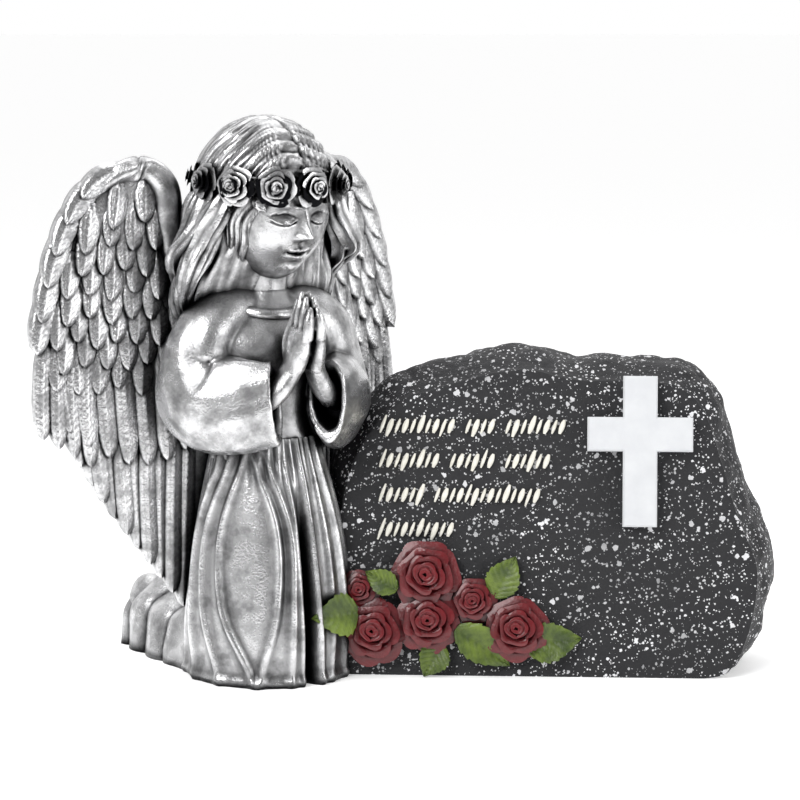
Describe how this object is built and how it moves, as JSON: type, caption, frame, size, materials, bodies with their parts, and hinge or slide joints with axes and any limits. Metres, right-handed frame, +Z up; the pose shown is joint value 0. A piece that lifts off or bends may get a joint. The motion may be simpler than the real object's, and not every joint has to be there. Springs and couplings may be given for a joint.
{
  "type": "memorial angel statue",
  "caption": "Kneeling praying angel child with rose wreath and feathered wings beside a boulder plaque with a raised cross, an inscription and a spray of roses, for a grave or garden",
  "frame": {"origin": "on the ground, under the middle of the whole statue", "axes": "+X runs along the boulder from the angel to the boulder's free end, -Y faces the viewer and the cross, +Z is up"},
  "size_m": [0.2626, 0.1054, 0.1964],
  "materials": {
    "antique_silver": "cast resin painted as antique silver, bright on the ridges and dark in the hollows",
    "speckled_stone": "cast resin painted black with white speckles, like granite, its inscription in cream white",
    "white_cross": "satin white",
    "red_petals": "dark red paint with a soft gloss",
    "green_leaves": "green paint with a soft gloss"
  },
  "bodies": {
    "root": {"angel": "antique_silver", "boulder": "speckled_stone", "cross": "white_cross", "rose_top": "red_petals", "rose_middle": "red_petals", "rose_left": "red_petals", "rose_small": "red_petals", "rose_right": "red_petals", "rose_bud": "red_petals", "leaf_far_left": "green_leaves", "leaf_upper_left": "green_leaves", "leaf_upper_right": "green_leaves", "leaf_lower_middle": "green_leaves", "leaf_lower_right": "green_leaves", "leaf_right": "green_leaves"}
  },
  "joints": []
}
